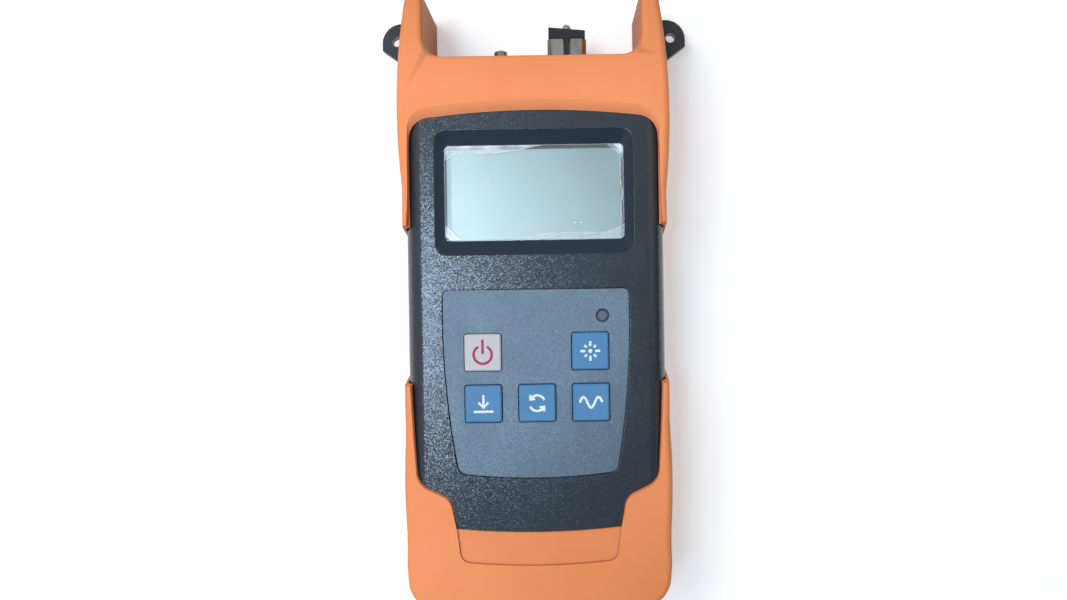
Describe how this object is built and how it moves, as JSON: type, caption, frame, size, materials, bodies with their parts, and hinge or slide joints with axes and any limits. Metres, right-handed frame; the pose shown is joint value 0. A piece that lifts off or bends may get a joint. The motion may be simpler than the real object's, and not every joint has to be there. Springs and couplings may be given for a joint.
{
  "type": "optical power meter",
  "caption": "Handheld optical power meter with visual fault locator in a horned rubber boot, with display, keys, capped sensor port and strap lugs.",
  "frame": {"origin": "middle of the outline on the back of the boot", "axes": "+X to the right of the keys, +Y towards the ports, +Z out of the display"},
  "size_m": [0.0926, 0.1784, 0.0329],
  "materials": {
    "boot_rubber": "matt moulded silicone rubber",
    "casing_plastic": "fine spark-eroded texture",
    "battery_jacket": "printed shrink sleeve over a steel can",
    "spring_steel": "nickel-plated wire",
    "nickel": "nickel plate",
    "clear_lens": "clear polished acrylic",
    "clear_film": "thin clear film, lifted at the corners",
    "display_glass": "unlit reflective liquid crystal glass",
    "white_plastic": "white moulded plastic",
    "contact_rubber": "layered conductive rubber",
    "overlay_sheet": "printed sheet with a fine metallic grain",
    "blue_key": "satin",
    "white_key": "satin",
    "light_pipe": "smoked translucent",
    "board_laminate": "green solder mask",
    "chip_resin": "black moulding resin",
    "brass_can": "turned",
    "black_plastic": "moulded",
    "screw_steel": "zinc plated"
  },
  "bodies": {
    "meter": {"protective_boot": "boot_rubber", "front_shell": "casing_plastic", "rear_shell": "casing_plastic", "left_battery": "battery_jacket", "middle_battery": "battery_jacket", "right_battery": "battery_jacket", "left_battery_spring": "spring_steel", "middle_battery_spring": "spring_steel", "right_battery_spring": "spring_steel", "lower_contact_plate": "nickel", "upper_contact_plate": "nickel", "display_lens": "clear_lens", "protective_film": "clear_film", "display_glass": "display_glass", "display_holder": "white_plastic", "backlight": "white_plastic", "upper_contact_strip": "contact_rubber", "lower_contact_strip": "contact_rubber", "keypad_overlay": "overlay_sheet", "indicator_light": "light_pipe", "indicator_diode": "light_pipe", "main_board": "board_laminate", "board_components": "chip_resin", "power_port_adapter": "nickel", "photodiode": "brass_can", "photodiode_board": "board_laminate", "fault_port_nozzle": "nickel", "laser_module": "brass_can", "power_key_switch": "black_plastic", "laser_key_switch": "black_plastic", "reference_key_switch": "black_plastic", "unit_key_switch": "black_plastic", "wavelength_key_switch": "black_plastic", "board_screw_1": "screw_steel", "case_screw_1": "screw_steel", "threaded_insert_1": "brass_can", "board_screw_2": "screw_steel", "case_screw_2": "screw_steel", "threaded_insert_2": "brass_can", "board_screw_3": "screw_steel", "case_screw_3": "screw_steel", "threaded_insert_3": "brass_can", "board_screw_4": "screw_steel", "case_screw_4": "screw_steel", "threaded_insert_4": "brass_can"},
    "dust_cap": {"port_dust_cap": "black_plastic", "cap_stud": "nickel"},
    "battery_cover": {"battery_door": "casing_plastic"},
    "power_button": {"power_key": "white_key", "power_key_plunger": "black_plastic"},
    "laser_button": {"laser_key": "blue_key", "laser_key_plunger": "black_plastic"},
    "reference_button": {"reference_key": "blue_key", "reference_key_plunger": "black_plastic"},
    "unit_button": {"unit_key": "blue_key", "unit_key_plunger": "black_plastic"},
    "wavelength_button": {"wavelength_key": "blue_key", "wavelength_key_plunger": "black_plastic"}
  },
  "joints": [
    {"name": "power_key_press", "type": "slide", "parent": "meter", "child": "power_button", "axis": [0, 0, -1], "range_m": [0, 0.0005], "stiffness_N_per_m": 1200, "springref_m": -0.0002},
    {"name": "laser_key_press", "type": "slide", "parent": "meter", "child": "laser_button", "axis": [0, 0, -1], "range_m": [0, 0.0005], "stiffness_N_per_m": 1200, "springref_m": -0.0002},
    {"name": "reference_key_press", "type": "slide", "parent": "meter", "child": "reference_button", "axis": [0, 0, -1], "range_m": [0, 0.0005], "stiffness_N_per_m": 1200, "springref_m": -0.0002},
    {"name": "unit_key_press", "type": "slide", "parent": "meter", "child": "unit_button", "axis": [0, 0, -1], "range_m": [0, 0.0005], "stiffness_N_per_m": 1200, "springref_m": -0.0002},
    {"name": "wavelength_key_press", "type": "slide", "parent": "meter", "child": "wavelength_button", "axis": [0, 0, -1], "range_m": [0, 0.0005], "stiffness_N_per_m": 1200, "springref_m": -0.0002},
    {"name": "dust_cap_pull", "type": "slide", "parent": "meter", "child": "dust_cap", "axis": [0, 1, 0], "range_m": [0, 0.015]},
    {"name": "battery_cover_swing", "type": "hinge", "parent": "meter", "child": "battery_cover", "pos_m": [0, -0.054, 0.0021], "axis": [-1, 0, 0], "range_deg": [0, 80]}
  ]
}
